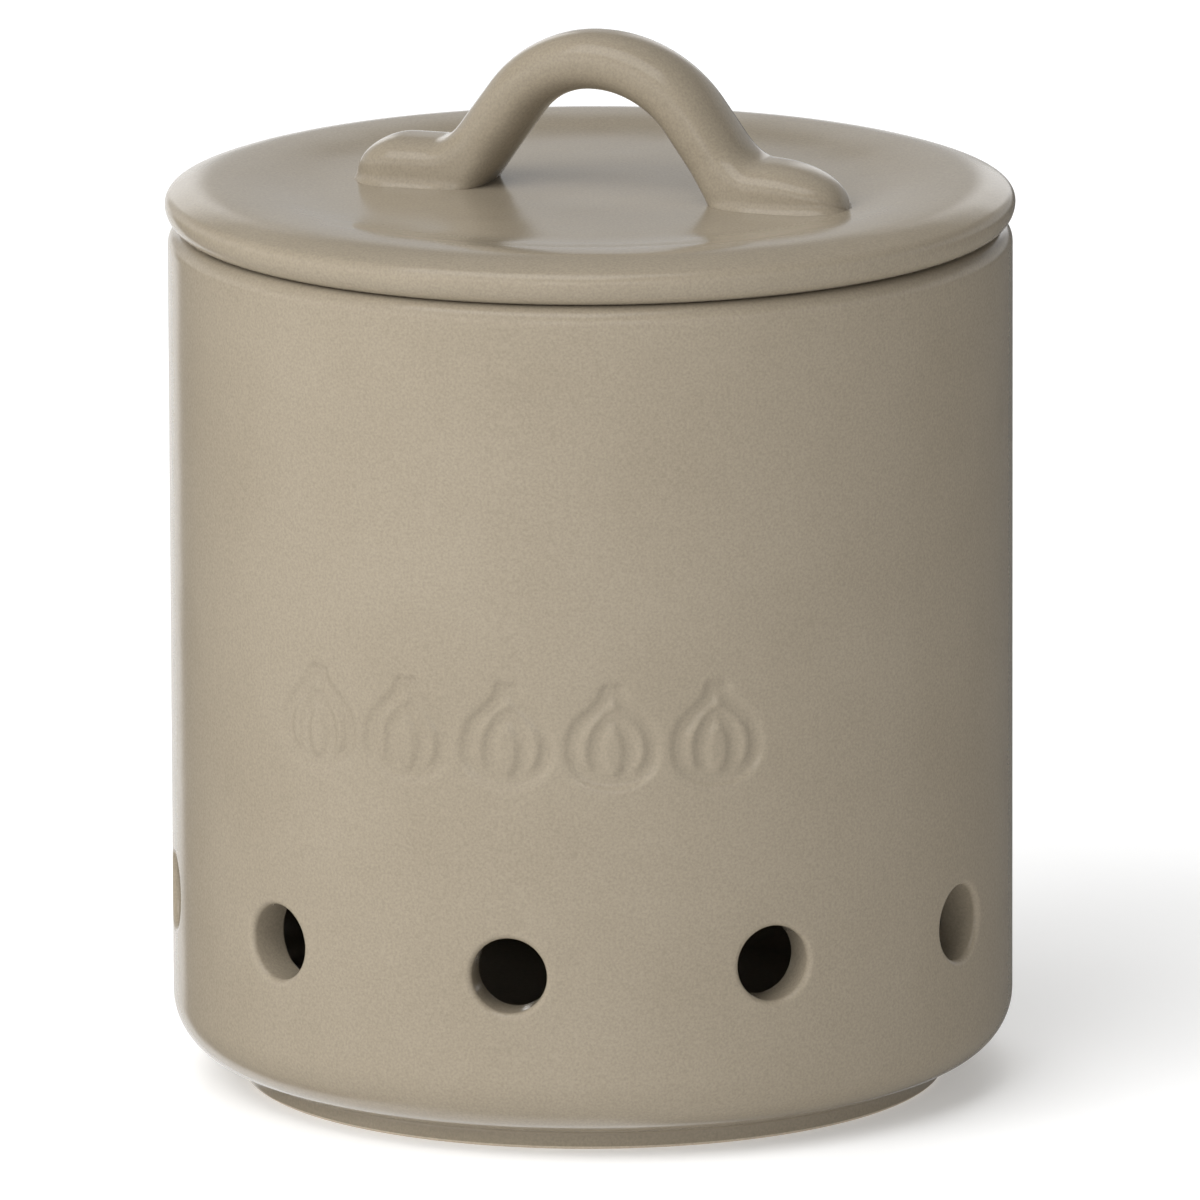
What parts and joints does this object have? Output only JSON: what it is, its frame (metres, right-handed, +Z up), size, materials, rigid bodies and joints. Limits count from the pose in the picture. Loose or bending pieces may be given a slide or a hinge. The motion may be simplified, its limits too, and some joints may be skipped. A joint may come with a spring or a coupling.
{
  "type": "garlic keeper",
  "caption": "Round glazed stoneware garlic keeper: a straight-sided canister with a ring of vent holes near its base and a loose lid with a loop handle.",
  "frame": {"origin": "centre of the foot ring's underside, on the surface that the keeper stands on", "axes": "+Z up along the canister's axis; -Y is the front, where one vent hole lies on the centre line; +X is to the right seen from the front"},
  "size_m": [0.1258, 0.1258, 0.1574],
  "materials": {
    "glaze": "satin taupe glaze with a fine speckle"
  },
  "bodies": {
    "canister": {"canister": "glaze"},
    "lid": {"lid": "glaze", "lid_handle": "glaze"}
  },
  "joints": [
    {"name": "lid_lift", "type": "slide", "parent": "canister", "child": "lid", "axis": [0, 0, 1], "range_m": [0, 0.12]}
  ]
}
